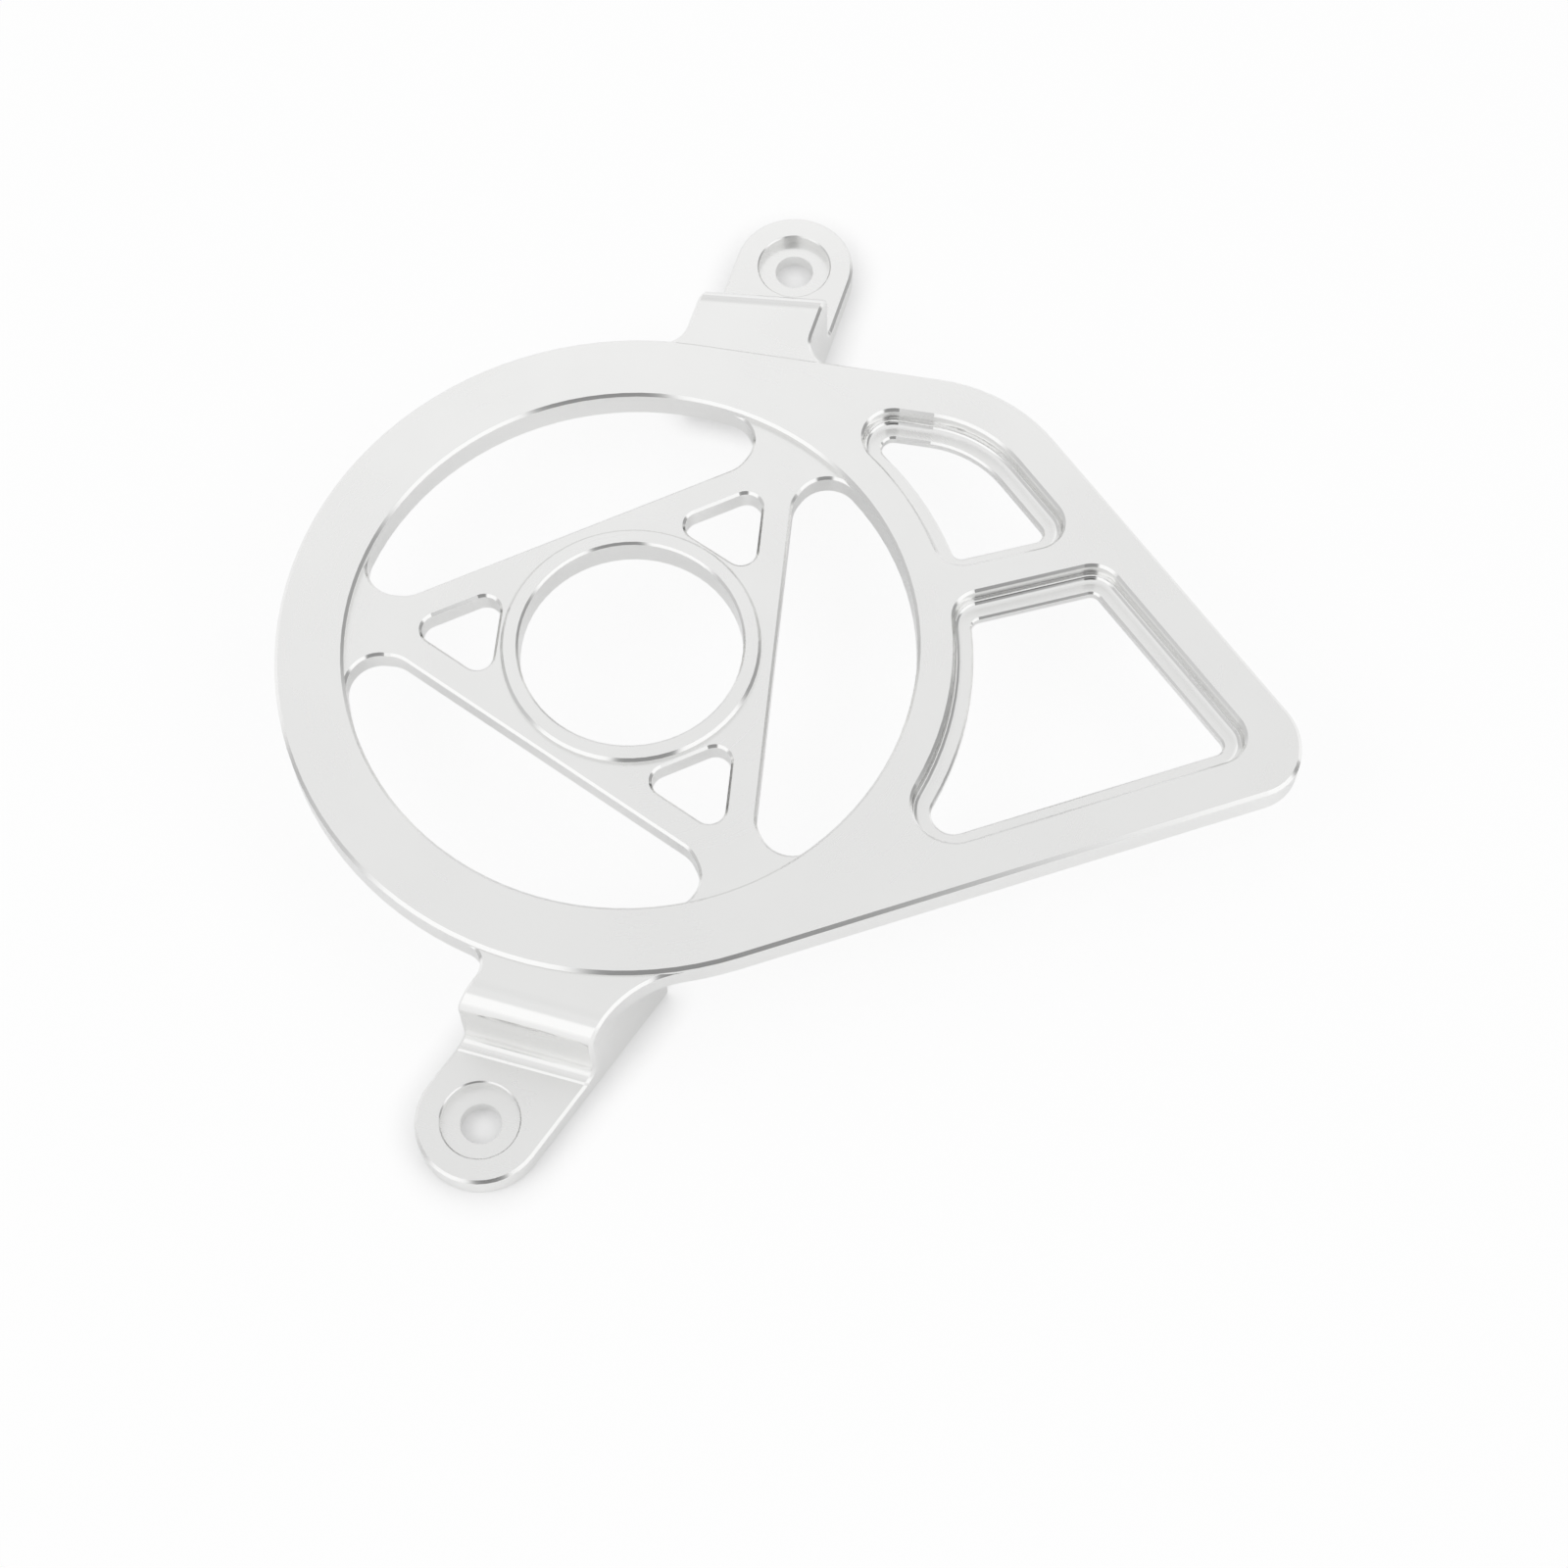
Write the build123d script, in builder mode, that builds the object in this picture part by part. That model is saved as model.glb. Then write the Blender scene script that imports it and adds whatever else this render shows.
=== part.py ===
"""Motorbike guard: a lightened ring plate with two stepped bolt ears, machined in one piece.

Millimetres. The origin is the centre of the ring on the plate's flat back, +Z comes out of
the show face, +X runs towards the nose and +Y towards the upper ear.
"""
import os
from math import cos, radians, sin, tan

from build123d import *

# plate and ring
plate_t = 6.0
ring_outer_r = 60.6
ring_w = 11.75
face_bevel = 0.6
ring_bevel = 0.5
back_bevel = 0.3

# straight edges of the outline: the direction each one faces. Two are tangent to the ring, the
# slant lies out past it, and the nose edge cuts off the corner of the slant and the lower edge
upper_edge_deg = 79.3
lower_edge_deg = -72.7
slant_edge_deg, slant_reach = 34.4, 22.2
nose_edge_deg, nose_cut = -15.0, 6.8
shoulder_r = 30.0
nose_upper_r = 11.0
nose_lower_r = 8.6

# windows: stepped frames inside the rim, parted by a slanting web
rim_w = 7.85
window_gap = 6.4
web_deg, web_at, web_w = 103.5, -2.7, 5.6
window_corner_r = 5.0
upper_tip_r = 5.4
lower_tip_r = 7.0
window_bevel = 0.45
ledge_depth = 4.0
ledge_w = 3.25
ledge_bevel = 0.35
cove_r = 1.4

# three-armed centre, a little below the face
spider_drop = 1.5
spider_bite = 1.5
spider_bevel = 0.45
spider_turn = 53.3
boss_bore_r = 19.2
boss_wall = 3.05
boss_drop = 0.4
boss_bevel = 0.5
bore_bevel = 0.4
cutout_gap = 2.4
cutout_corner_r = 5.6
arm_w = 11.8
small_hole_gap = 0.87
small_hole_in_r = 5.23
small_hole_corner_r = 2.75

# ears: where the hole lies and how far past the ring, the way the tab runs back to the ring, the
# way the step faces and how far past the ring it starts, the blends into the outline, left and
# right as seen along the tab, and how far the leg reaches in under the ring
lower_hole_deg, lower_hole_out = -107.78, 22.26
lower_tab_deg = 54.0
lower_step_deg, lower_step_out = -106.9, 4.6
lower_blend_r = (3.6, 19.0)
lower_leg_in = 5.2
upper_hole_deg, upper_hole_out = 71.53, 31.55
upper_tab_deg = 251.5
upper_step_deg, upper_step_out = 84.2, 8.6
upper_blend_r = (5.0, 5.0)
upper_leg_in = 0.6

ear_half_w = 10.9
ear_sink = 0.9
ear_drop = 18.0
pad_t = 5.0
ear_round_r = 4.8
ear_cove_r = 2.0
ear_facet = 0.35
ear_bevel = 0.5
ear_bite = 4.0
bolt_r = 3.5
counterbore_r, counterbore_depth = 6.6, 2.0
counterbore_bevel = 0.25

# levels
ledge_top = plate_t - ledge_depth
spider_top = plate_t - spider_drop
boss_top = plate_t - boss_drop
ear_top = plate_t - ear_sink
pad_top = plate_t - ear_drop
pad_bottom = pad_top - pad_t

# places that follow from the sizes above
ring_inner_r = ring_outer_r - ring_w
window_inner_r = ring_inner_r + window_gap
boss_r = boss_bore_r + boss_wall
cutout_side_at = boss_r + cutout_gap
small_hole_at = boss_r + small_hole_gap + small_hole_in_r
slant_edge_at = ring_outer_r + slant_reach
rim_at = ring_outer_r - rim_w
slant_rim_at = slant_edge_at - rim_w
far = 3 * ring_outer_r


def facing(deg, length=1.0):
    return Vector(length * cos(radians(deg)), length * sin(radians(deg)))


def meet(deg_a, at_a, deg_b, at_b):
    """The point where two straight edges cross."""
    turn = sin(radians(deg_b - deg_a))
    x = (at_a * sin(radians(deg_b)) - at_b * sin(radians(deg_a))) / turn
    y = (at_b * cos(radians(deg_a)) - at_a * cos(radians(deg_b))) / turn
    return Vector(x, y)


def nearest(vertices, point):
    return vertices.sort_by(lambda v: (Vector(v.X, v.Y) - point).length)[0]


def on_level(edges, z):
    return edges.filter_by_position(Axis.Z, z - 0.01, z + 0.01)


# outline: the ring with a nose drawn out of it between two tangent edges
nose_tip = meet(slant_edge_deg, slant_edge_at, lower_edge_deg, ring_outer_r)
nose_edge_at = nose_tip.dot(facing(nose_edge_deg)) - nose_cut
shoulder = meet(upper_edge_deg, ring_outer_r, slant_edge_deg, slant_edge_at)
nose_upper = meet(slant_edge_deg, slant_edge_at, nose_edge_deg, nose_edge_at)
nose_lower = meet(nose_edge_deg, nose_edge_at, lower_edge_deg, ring_outer_r)

# the two round corners of the nose share its edge, which limits them
nose_upper_reach = nose_upper_r * tan(radians(slant_edge_deg - nose_edge_deg) / 2)
nose_lower_reach = nose_lower_r * tan(radians(nose_edge_deg - lower_edge_deg) / 2)
nose_room = 0.97 * (nose_upper - nose_lower).length
nose_fit = min(1, nose_room / (nose_upper_reach + nose_lower_reach))

with BuildSketch() as nose:
    with BuildLine():
        Polyline(
            (0, 0),
            facing(lower_edge_deg, ring_outer_r),
            nose_lower,
            nose_upper,
            shoulder,
            facing(upper_edge_deg, ring_outer_r),
            close=True,
        )
    make_face()
    fillet(nearest(nose.vertices(), shoulder), shoulder_r)
    fillet(nearest(nose.vertices(), nose_upper), nose_upper_r * nose_fit)
    fillet(nearest(nose.vertices(), nose_lower), nose_lower_r * nose_fit)

with BuildSketch() as outline:
    Circle(ring_outer_r)
    add(nose.sketch)

# upper window
inner_shoulder = meet(upper_edge_deg, rim_at, slant_edge_deg, slant_rim_at)
upper_web_at = web_at + web_w / 2
upper_web_end = meet(slant_edge_deg, slant_rim_at, web_deg, upper_web_at)

with BuildSketch() as upper_window:
    with BuildLine():
        Polyline(
            facing(web_deg, upper_web_at),
            upper_web_end,
            inner_shoulder,
            facing(upper_edge_deg, rim_at),
            close=True,
        )
    make_face()
    Circle(window_inner_r, mode=Mode.SUBTRACT)
    fillet(nearest(upper_window.vertices(), inner_shoulder), shoulder_r - rim_w)
    fillet(nearest(upper_window.vertices(), upper_web_end), window_corner_r)
    fillet(nearest(upper_window.vertices(), facing(web_deg - 90, window_inner_r)), window_corner_r)
    fillet(nearest(upper_window.vertices(), facing(upper_edge_deg, rim_at)), upper_tip_r)

# large window
lower_web_at = web_at - web_w / 2
lower_web_end = meet(slant_edge_deg, slant_rim_at, web_deg, lower_web_at)
inner_nose = meet(slant_edge_deg, slant_rim_at, lower_edge_deg, rim_at)

with BuildSketch() as large_window:
    with BuildLine():
        Polyline(
            facing(web_deg, lower_web_at),
            lower_web_end,
            inner_nose,
            facing(lower_edge_deg, rim_at),
            close=True,
        )
    make_face()
    Circle(window_inner_r, mode=Mode.SUBTRACT)
    fillet(nearest(large_window.vertices(), lower_web_end), window_corner_r)
    fillet(nearest(large_window.vertices(), inner_nose), window_corner_r)
    fillet(nearest(large_window.vertices(), facing(web_deg - 90, window_inner_r)), window_corner_r)
    fillet(nearest(large_window.vertices(), facing(lower_edge_deg, rim_at)), lower_tip_r)

# one of the three D-shaped cut-outs, its straight side facing the centre along +X. It lies between
# two arms that keep their width, and going in and out by the corner radius rounds every corner
arms_meet = meet(-30, arm_w / 2, 30, arm_w / 2)

with BuildSketch() as cutout:
    with BuildLine():
        Polyline(arms_meet, arms_meet + facing(60, far), arms_meet + facing(-60, far), close=True)
    make_face()
    Circle(ring_inner_r, mode=Mode.INTERSECT)
    with Locations((cutout_side_at, 0)):
        Rectangle(far, far, align=(Align.MAX, Align.CENTER), mode=Mode.SUBTRACT)
    offset(amount=-cutout_corner_r)
    offset(amount=cutout_corner_r)

with BuildSketch() as small_hole:
    RegularPolygon(small_hole_in_r, 3, major_radius=False)
    fillet(small_hole.vertices(), small_hole_corner_r)

# three-armed centre with its boss; its rim bites into the ring so that the two become one
with BuildPart() as spider:
    Cylinder(ring_inner_r + spider_bite, spider_top, align=(Align.CENTER, Align.CENTER, Align.MIN))
    with BuildSketch():
        with PolarLocations(0, 3, start_angle=spider_turn + 60):
            add(cutout.sketch)
        with PolarLocations(small_hole_at, 3, start_angle=spider_turn):
            add(small_hole.sketch)
    extrude(amount=spider_top, mode=Mode.SUBTRACT)
    chamfer(on_level(spider.edges(Select.LAST), spider_top), spider_bevel)
    with BuildSketch():
        Circle(boss_r)
    extrude(amount=boss_top)
    chamfer(on_level(spider.edges(), boss_top), boss_bevel)
    with BuildSketch():
        Circle(boss_bore_r)
    extrude(amount=boss_top, mode=Mode.SUBTRACT)
    chamfer(on_level(spider.edges(Select.LAST), boss_top), bore_bevel)


def make_ear(hole_deg, hole_out, tab_deg, step_deg, step_out, blend_r, leg_in):
    """A stepped ear: a tab standing down from the plate's edge, with a counterbored foot."""
    hole = facing(hole_deg, ring_outer_r + hole_out)
    at_hole = Location(hole, (0, 0, tab_deg))
    tab_l = hole.length
    leg_inner_r = ring_outer_r - leg_in
    step_at = ring_outer_r + step_out
    wall_at = step_at + ear_round_r
    foot_at = wall_at + ear_cove_r + ear_facet
    across = Plane(origin=(0, 0, 0), x_dir=facing(step_deg), z_dir=facing(step_deg - 90))

    def side_corner(vertices, side):
        def on_side(v):
            from_hole = Vector(v.X, v.Y) - hole
            off = from_hole.dot(facing(tab_deg + 90))
            return abs(off - side * ear_half_w) < 0.01 and from_hole.dot(facing(tab_deg)) > 1
        return vertices.filter_by(on_side)[0]

    def takes_bevel(edge):
        middle = edge @ 0.5
        from_hole = middle - hole
        on_side = abs(abs(from_hole.dot(facing(tab_deg + 90))) - ear_half_w) < 0.01
        upright = abs((edge % 0.5).Z) > 0.99
        in_wall = abs(middle.dot(facing(step_deg)) - wall_at) < 0.01
        past_leg = Vector(middle.X, middle.Y).length > leg_inner_r + 0.01
        on_round_end = from_hole.dot(facing(tab_deg)) < -0.01
        above_pad = middle.Z > pad_top - 0.01
        return above_pad and (on_round_end or on_side and past_leg and (in_wall or not upright))

    # where the tab leaves the outline, with a rounded corner each side
    with BuildSketch() as root:
        add(outline.sketch)
        with Locations(at_hole):
            Rectangle(tab_l, 2 * ear_half_w, align=(Align.MIN, Align.CENTER))
        fillet(side_corner(root.vertices(), 1), blend_r[0])
        fillet(side_corner(root.vertices(), -1), blend_r[1])
        offset(outline.sketch, amount=-ear_bite, mode=Mode.SUBTRACT)
        with Locations(at_hole):
            Rectangle(tab_l, 2 * (ear_half_w + max(blend_r)),
                      align=(Align.MIN, Align.CENTER), mode=Mode.INTERSECT)

    with BuildPart() as web:
        with BuildSketch(Plane.XY.offset(back_bevel)):
            add(root.sketch)
        extrude(amount=ear_top - back_bevel)
        chamfer(on_level(web.edges(), ear_top), ear_bevel)
        with BuildSketch():
            with Locations(Location(facing(step_deg, step_at), step_deg)):
                Rectangle(far, far, align=(Align.MIN, Align.CENTER))
        extrude(amount=ear_top, mode=Mode.SUBTRACT)

    with BuildPart() as ear:
        with BuildSketch(Plane.XY.offset(pad_bottom)):
            with Locations(at_hole):
                Rectangle(tab_l, 2 * ear_half_w, align=(Align.MIN, Align.CENTER))
                Circle(ear_half_w)
            Circle(leg_inner_r, mode=Mode.SUBTRACT)
        extrude(amount=ear_top - pad_bottom)
        with BuildSketch(across):
            with BuildLine():
                Polyline((wall_at, ear_top - ear_round_r), (wall_at, pad_top + ear_facet + ear_cove_r))
                CenterArc((foot_at - ear_facet, pad_top + ear_facet + ear_cove_r), ear_cove_r, 180, 90)
                Polyline(
                    (foot_at - ear_facet, pad_top + ear_facet),
                    (foot_at, pad_top),
                    (far, pad_top),
                    (far, far),
                    (step_at, far),
                    (step_at, ear_top),
                )
                CenterArc((step_at, ear_top - ear_round_r), ear_round_r, 0, 90)
            make_face()
        extrude(amount=ring_outer_r, both=True, mode=Mode.SUBTRACT)
        chamfer(ear.edges().filter_by(takes_bevel), ear_bevel)
        chamfer(on_level(ear.edges(), pad_bottom), back_bevel)
        with BuildSketch(Plane.XY.offset(back_bevel)):
            with Locations(Location(facing(step_deg, step_at), step_deg)):
                Rectangle(far, far, align=(Align.MAX, Align.CENTER))
        extrude(amount=ear_top, mode=Mode.SUBTRACT)
        add(web.part)
        with Locations((hole.X, hole.Y, pad_top)):
            CounterBoreHole(bolt_r, counterbore_r, counterbore_depth, depth=2 * pad_t)
        counterbore_rim = on_level(ear.edges().filter_by(GeomType.CIRCLE), pad_top)
        chamfer(counterbore_rim.filter_by(lambda e: abs(e.radius - counterbore_r) < 0.01), counterbore_bevel)
    return ear.part


lower_ear = make_ear(lower_hole_deg, lower_hole_out, lower_tab_deg, lower_step_deg, lower_step_out,
                     lower_blend_r, lower_leg_in)
upper_ear = make_ear(upper_hole_deg, upper_hole_out, upper_tab_deg, upper_step_deg, upper_step_out,
                     upper_blend_r, upper_leg_in)

with BuildPart() as guard:
    add(outline.sketch)
    extrude(amount=plate_t)
    chamfer(on_level(guard.edges(), plate_t), face_bevel)
    chamfer(on_level(guard.edges(), 0), back_bevel)

    # window pockets with a rounded foot, then the smaller openings through their ledges
    with BuildSketch(Plane.XY.offset(plate_t)):
        add(upper_window.sketch)
        add(large_window.sketch)
    extrude(amount=-ledge_depth, mode=Mode.SUBTRACT)
    chamfer(on_level(guard.edges(Select.LAST), plate_t), window_bevel)
    fillet(on_level(guard.edges(), ledge_top), cove_r)
    with BuildSketch(Plane.XY.offset(plate_t)):
        add(upper_window.sketch)
        add(large_window.sketch)
        offset(amount=-ledge_w)
    extrude(amount=-plate_t, mode=Mode.SUBTRACT)
    through_edges = guard.edges(Select.LAST)
    chamfer(on_level(through_edges, ledge_top) + on_level(through_edges, 0), ledge_bevel)

    # ring opening and the centre in it
    with BuildSketch():
        Circle(ring_inner_r)
    extrude(amount=plate_t, mode=Mode.SUBTRACT)
    chamfer(on_level(guard.edges(Select.LAST), plate_t), ring_bevel)
    add(spider.part)
    chamfer(on_level(guard.edges(), 0).filter_by(
        lambda e: boss_bore_r + 0.01 < (e @ 0.5).length < ring_inner_r + 0.01), back_bevel)

    add(lower_ear)
    add(upper_ear)

guard.part.label = "guard"
os.makedirs("parts", exist_ok=True)
export_step(guard.part, "parts/guard.step")
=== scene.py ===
import math

import bpy
from mathutils import Matrix, Vector


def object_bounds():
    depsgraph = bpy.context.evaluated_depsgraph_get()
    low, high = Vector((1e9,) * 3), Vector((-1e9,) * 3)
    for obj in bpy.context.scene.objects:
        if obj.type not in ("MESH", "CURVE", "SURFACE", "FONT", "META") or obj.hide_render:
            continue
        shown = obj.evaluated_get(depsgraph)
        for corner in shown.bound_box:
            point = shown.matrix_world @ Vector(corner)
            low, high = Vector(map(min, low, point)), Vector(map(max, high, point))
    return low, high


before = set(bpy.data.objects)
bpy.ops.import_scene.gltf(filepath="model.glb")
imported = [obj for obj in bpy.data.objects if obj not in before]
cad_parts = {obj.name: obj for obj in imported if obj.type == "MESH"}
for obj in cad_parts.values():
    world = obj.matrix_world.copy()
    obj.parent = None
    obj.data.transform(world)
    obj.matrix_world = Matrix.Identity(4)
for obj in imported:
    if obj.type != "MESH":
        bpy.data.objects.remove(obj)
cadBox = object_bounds()
scene = bpy.context.scene
print("frame loaded", [[round(side, 4) for side in corner] for corner in cadBox])


# a Wire's method that adds one Math node; swapped puts the other value first
def mathsStep(kind, swapped=False):
    def work(self, other):
        terms = (other, self) if swapped else (self, other)
        return self.graph.maths(kind, *terms)
    return work


# a shader socket that can be used in sums
class Wire:
    def __init__(self, graph, socket):
        self.graph = graph
        self.socket = socket

    __add__ = __radd__ = mathsStep("ADD")
    __mul__ = __rmul__ = mathsStep("MULTIPLY")
    __sub__ = mathsStep("SUBTRACT")
    __rsub__ = mathsStep("SUBTRACT", swapped=True)
    __truediv__ = mathsStep("DIVIDE")
    __rtruediv__ = mathsStep("DIVIDE", swapped=True)
    __pow__ = mathsStep("POWER")
    __rpow__ = mathsStep("POWER", swapped=True)
    atMost = mathsStep("MINIMUM")
    atLeast = mathsStep("MAXIMUM")

    def __abs__(self):
        return self.graph.maths("ABSOLUTE", self)

    # smooth step, from start at low to end at high
    def between(self, low, high, start=0.0, end=1.0):
        return self.graph.node("ShaderNodeMapRange", [self, low, high, start, end],
                               interpolation_type="SMOOTHSTEP")

    # amount 0 keeps this value and 1 gives the other
    def towards(self, other, amount):
        return self + (other - self) * amount


# the node tree of a material or a world, emptied and built up node by node
class Graph:
    def __init__(self, owner):
        owner.use_nodes = True
        self.tree = owner.node_tree
        self.tree.nodes.clear()

    # a node, its settings, and the values or links of its sockets, in order or by name
    def node(self, kind, inputs=(), output=0, **settings):
        made = self.tree.nodes.new(kind)
        for name, value in settings.items():
            setattr(made, name, value)
        for key, value in (inputs.items() if isinstance(inputs, dict) else enumerate(inputs)):
            self.feed(made.inputs[key], value)
        return Wire(self, made.outputs[output]) if len(made.outputs) else made

    def feed(self, socket, value):
        if isinstance(value, Wire):
            self.tree.links.new(value.socket, socket)
        else:
            socket.default_value = value

    def maths(self, kind, *terms):
        return self.node("ShaderNodeMath", terms, operation=kind)

    # a Mix node's colours are its inputs 6 and 7, and its output 2
    def mixed(self, amount, first, second):
        return self.node("ShaderNodeMix", {0: amount, 6: first, 7: second}, 2, data_type="RGBA")

    def joined(self, x, y, z):
        return self.node("ShaderNodeCombineXYZ", [x, y, z])

    def parts(self, vector):
        split = self.node("ShaderNodeSeparateXYZ", [vector]).socket.node
        return [Wire(self, number) for number in split.outputs]

    def noise(self, place, scale=1.0, detail=2.0, roughness=0.5):
        return self.node("ShaderNodeTexNoise", {
            "Vector": place, "Scale": scale, "Detail": detail, "Roughness": roughness})


def addObject(name, data):
    made = bpy.data.objects.new(name, data)
    scene.collection.objects.link(made)
    return made


# camera, fitted to the photograph's circles and straight edges
cameraSizes = {
    "place": (0.02571, -0.25073, 0.49177),
    "lean": math.radians(24.717),
    "roll": math.radians(-0.934),
    "lens": 73.743,      # millimetres, as is the sensor
    "sensor": 36.0,
    "near": 0.01,
    "far": 50.0,
}
cameraData = bpy.data.cameras.new("camera")
cameraData.lens = cameraSizes["lens"]
cameraData.sensor_width = cameraSizes["sensor"]
cameraData.clip_start = cameraSizes["near"]
cameraData.clip_end = cameraSizes["far"]
camera = addObject("camera", cameraData)
camera.matrix_world = (Matrix.Translation(cameraSizes["place"])
                       @ Matrix.Rotation(cameraSizes["lean"], 4, "X")
                       @ Matrix.Rotation(cameraSizes["roll"], 4, "Z"))
scene.camera = camera
print("camera set")

# aluminium: satin on the level faces, shinier along the plate's walls, coves and bevels, and
# duller again along those of the ears, which lie lower
metal = {
    "face": (0.91, 0.91, 0.902, 1),
    "faceWarm": (0.895, 0.895, 0.887, 1),
    "wall": (0.94, 0.94, 0.933, 1),
    "levelNormals": (0.93, 0.99),      # a normal's Z where a wall ends and where a face starts
    "faceRough": 0.27,
    "wallRough": 0.14,
    "earRough": 0.25,
    "earHeights": (-0.003, -0.001),    # Z where the ears' finish ends and the plate's starts
    "cloudScale": 38.0,                # clouds change the faces' tone and gloss a little
    "cloudDetail": 4.0,
    "cloudRoughness": 0.55,
    "cloudTones": (0.35, 0.65),
    "cloudGloss": 0.06,
    "ringScale": 900.0,                # rings left by the facing cutter, centred on the bore
    "ringBreaks": 14.0,
    "ringGloss": 0.02,
    "ringHeight": 0.3,
    "markScale": 1500.0,               # marks that run along the walls
    "markBreaks": 60.0,
    "markGloss": 0.05,
    "markHeight": 0.12,
    "speckScale": 2600.0,
    "speckRoughness": 0.6,
    "speckHeight": 0.15,
    "bumpStrength": 0.008,
    "bumpDepth": 0.0001,
    "noiseMiddle": 0.5,
}


def satinAluminium():
    material = bpy.data.materials.new("satinAluminium")
    graph = Graph(material)
    place = graph.node("ShaderNodeTexCoord", output="Object")
    x, y, z = graph.parts(place)
    upward = graph.parts(graph.node("ShaderNodeNewGeometry", output="Normal"))[2]
    level = upward.between(*metal["levelNormals"])

    radius = (x * x + y * y) ** 0.5
    breaks = metal["ringBreaks"]
    rings = graph.noise(graph.joined(radius * metal["ringScale"], x * breaks, y * breaks))
    breaks = metal["markBreaks"]
    marks = graph.noise(graph.joined(x * breaks, y * breaks, z * metal["markScale"]))
    clouds = graph.noise(place, metal["cloudScale"], metal["cloudDetail"], metal["cloudRoughness"])
    specks = graph.noise(place, metal["speckScale"], roughness=metal["speckRoughness"])

    tone = graph.mixed(clouds.between(*metal["cloudTones"]), metal["face"], metal["faceWarm"])
    colour = graph.mixed(level, metal["wall"], tone)

    middle = metal["noiseMiddle"]
    faceRough = metal["faceRough"] + (clouds - middle) * metal["cloudGloss"]
    faceRough = faceRough + (rings - middle) * metal["ringGloss"]
    wallRough = z.between(*metal["earHeights"], metal["earRough"], metal["wallRough"])
    wallRough = wallRough + (marks - middle) * metal["markGloss"]

    height = specks * metal["speckHeight"] + rings * level * metal["ringHeight"]
    height = height + marks * (1.0 - level) * metal["markHeight"]
    bump = graph.node("ShaderNodeBump", {
        "Strength": metal["bumpStrength"], "Distance": metal["bumpDepth"], "Height": height})
    shader = graph.node("ShaderNodeBsdfPrincipled", {
        "Base Color": colour, "Metallic": 1.0, "Roughness": wallRough.towards(faceRough, level),
        "Normal": bump})
    graph.node("ShaderNodeOutputMaterial", {"Surface": shader})
    return material


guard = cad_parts["guard"]
aluminium = satinAluminium()
for materialSlot in guard.material_slots:
    materialSlot.material = aluminium
print("guard dressed", len(guard.data.polygons), "faces")

# floor: pale and wide; the camera sees it lifted nearly to white, except where it meets the part,
# where an ambient occlusion mask takes the lift away and so paints a contact shadow over the
# floor's own shading; and the metal mirrors it lifted too, more so farther out, so that its
# reflections keep a painted shade around the part
floorSizes = {
    "half": 1.6,
    "clearance": 0.00002,
    "colour": (0.87, 0.87, 0.87, 1),
    "rough": 0.9,
    "shine": 0.1,
    "grainScale": 300.0,
    "grainDetail": 3.0,
    "grainStrength": 0.05,
    "grainDepth": 0.0002,
    "white": 1.0,
    "cameraLift": 0.9,
    # contactLift, contactReach and contactFade set the painted contact shadow around the part
    "contactLift": 0.0,
    "contactReach": 0.006,             # how near the part has to be to count as meeting the floor
    "contactFade": (0.35, 0.95),
    # glossLift, glossFar and glossFade: the floor's lift in reflections, smaller near the part, a
    # painted shade there
    "glossLift": 0.15,
    "glossFar": 0.8,
    "glossFade": (0.1, 0.3),
}


def paper():
    material = bpy.data.materials.new("paper")
    graph = Graph(material)
    place = graph.node("ShaderNodeTexCoord", output="Object")
    grain = graph.noise(place, floorSizes["grainScale"], floorSizes["grainDetail"])
    bump = graph.node("ShaderNodeBump", {
        "Strength": floorSizes["grainStrength"], "Distance": floorSizes["grainDepth"],
        "Height": grain})
    matt = graph.node("ShaderNodeBsdfPrincipled", {
        "Base Color": floorSizes["colour"], "Roughness": floorSizes["rough"],
        "Specular IOR Level": floorSizes["shine"], "Normal": bump})
    white = graph.node("ShaderNodeEmission", {"Strength": floorSizes["white"]})

    seen, mirrored, through = [graph.node("ShaderNodeLightPath", output=ray) for ray in (
        "Is Camera Ray", "Is Glossy Ray", "Is Transmission Ray")]
    # painted contact shadow: near the part, ambient occlusion takes the white lift away, so the
    # floor shows darker there
    openAir = graph.node("ShaderNodeAmbientOcclusion", {"Distance": floorSizes["contactReach"]},
                         "AO", samples=3)
    cameraLift = openAir.between(
        *floorSizes["contactFade"], floorSizes["contactLift"], floorSizes["cameraLift"])
    # painted shade in the metal's reflections: the floor it mirrors is lifted less within about 0.1
    # to 0.3 m of the middle, so it stays darker around the part
    x, y, z = graph.parts(place)
    away = (x * x + y * y) ** 0.5
    glossLift = away.between(
        *floorSizes["glossFade"], floorSizes["glossLift"], floorSizes["glossFar"])
    lift = seen * cameraLift + (mirrored + through).atMost(1.0) * (1.0 - seen) * glossLift
    shader = graph.node("ShaderNodeMixShader", [lift, matt, white])
    graph.node("ShaderNodeOutputMaterial", {"Surface": shader})
    return material


half = floorSizes["half"]
corners = [(-half, -half, 0), (half, -half, 0), (half, half, 0), (-half, half, 0)]
floorMesh = bpy.data.meshes.new("floor")
floorMesh.from_pydata(corners, [], [range(len(corners))])
floorMesh.materials.append(paper())
floor = addObject("floor", floorMesh)
floor.location.z = cadBox[0][2] - floorSizes["clearance"]
print("floor laid")

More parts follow.
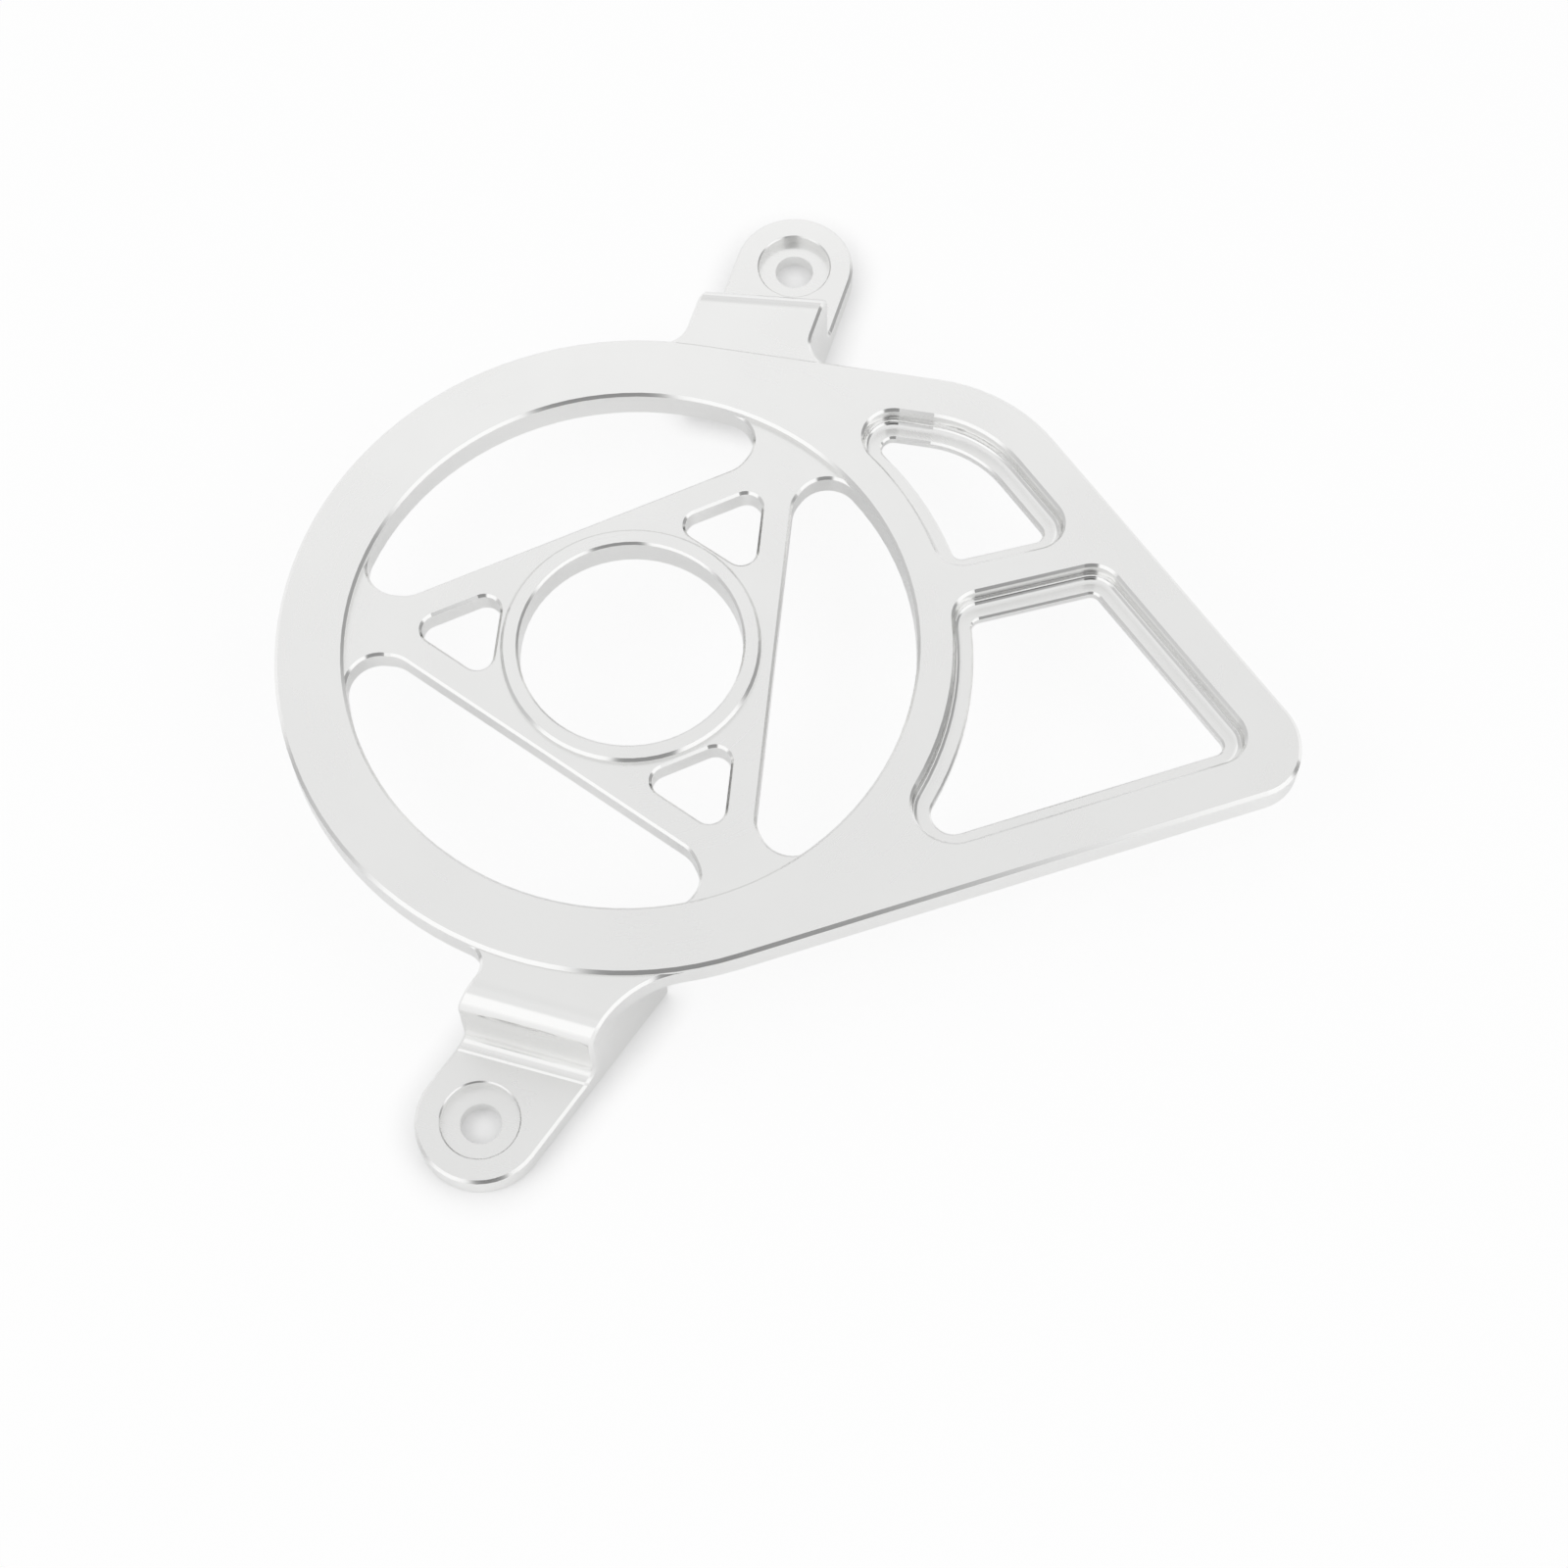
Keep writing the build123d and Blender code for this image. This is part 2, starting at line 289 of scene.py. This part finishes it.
# studio: a soft ceiling that brightens towards the back, a bright panel in front with a dark gap in
# it where the camera stands, and dimmer walls at the sides and the back. The gap is darkest low
# down and high up. A pair of numbers is where a change starts and ends along the direction's X, Y
# or Z.
studio = {
    "ceiling": 0.84,
    "ceilingBack": 1.04,
    "ceilingLean": 0.2,
    "ceilingFade": (0.47, 0.57),
    "left": 0.6,
    "right": 0.37,
    "sideFade": (-0.5, 0.5),
    "back": 0.78,
    "backFade": (0.4, 0.8),
    "wallTop": (0.62, 0.74),
    "panel": 1.03,
    "panelLean": 0.12,
    "panelFade": (0.14, 0.38),
    "gap": 0.3,
    "gapEnds": 0.05,
    "gapLeft": (-0.325, -0.165),
    "gapRight": (0.435, 0.535),
    "gapLow": (0.2, 0.36),
    "gapHigh": (0.54, 0.66),
    "gapTop": (0.78, 0.86),
    "horizon": 0.35,                   # the sides are dimmer just above the floor
    "horizonFade": (0.0, 0.07),
    "horizonSides": (0.4, 0.7),
    "cameraSees": 1.0,                 # white
    "tint": (1, 1, 1, 1),
    "smallest": 0.001,                 # keeps the division sound straight up
}


def studioWorld():
    world = bpy.data.worlds.new("studio")
    graph = Graph(world)
    dirX, dirY, dirZ = graph.parts(graph.node("ShaderNodeTexCoord", output="Generated"))
    sideways = ((dirX * dirX + dirY * dirY) ** 0.5).atLeast(studio["smallest"])
    turnX = dirX / sideways
    turnY = dirY / sideways

    front = (turnX * studio["panelLean"] - turnY).between(*studio["panelFade"])
    gap = turnX.between(*studio["gapLeft"]) * (1.0 - turnX.between(*studio["gapRight"])) * front
    around = turnX.between(*studio["sideFade"], studio["left"], studio["right"])
    around = around.towards(studio["back"], turnY.between(*studio["backFade"]))
    around = around.towards(studio["panel"], front)
    middle = dirZ.between(*studio["gapLow"]) * (1.0 - dirZ.between(*studio["gapHigh"]))
    dark = studio["gapEnds"] + (studio["gap"] - studio["gapEnds"]) * middle
    around = around.towards(dark, gap)

    ceiling = (dirY - dirX * studio["ceilingLean"]).between(
        *studio["ceilingFade"], studio["ceiling"], studio["ceilingBack"])
    above = dirZ.between(*studio["wallTop"]).towards(dirZ.between(*studio["gapTop"]), gap)
    light = around.towards(ceiling, above)
    clear = dirZ.between(*studio["horizonFade"])
    clear = clear.towards(1.0, abs(turnY).between(*studio["horizonSides"]))
    light = studio["horizon"] + (light - studio["horizon"]) * clear
    seen = graph.node("ShaderNodeLightPath", output="Is Camera Ray")
    light = light.towards(studio["cameraSees"], seen)
    background = graph.node("ShaderNodeBackground", {"Color": studio["tint"], "Strength": light})
    graph.node("ShaderNodeOutputWorld", {"Surface": background})
    return world


scene.world = studioWorld()

# soft boxes: they light the floor and cast the part's shadow on it, but the metal doesn't mirror
# them
softBoxes = {
    "side": 0.9,
    "aim": (0.02, 0.0, 0.0),
    "places": {"keyBox": (-1.1, -0.3, 1.2), "fillBox": (1.1, -0.3, 1.2)},
    "powers": {"keyBox": 6.0, "fillBox": 4.0},
}
for boxName, boxPlace in softBoxes["places"].items():
    lamp = bpy.data.lights.new(boxName, "AREA")
    lamp.shape = "RECTANGLE"
    lamp.size = softBoxes["side"]
    lamp.size_y = softBoxes["side"]
    lamp.energy = softBoxes["powers"][boxName]
    box = addObject(boxName, lamp)
    box.location = boxPlace
    towardsAim = Vector(softBoxes["aim"]) - Vector(boxPlace)
    box.rotation_euler = towardsAim.to_track_quat("-Z", "Y").to_euler()
    box.visible_glossy = False

scene.view_settings.view_transform = "Standard"
print("studio lit")
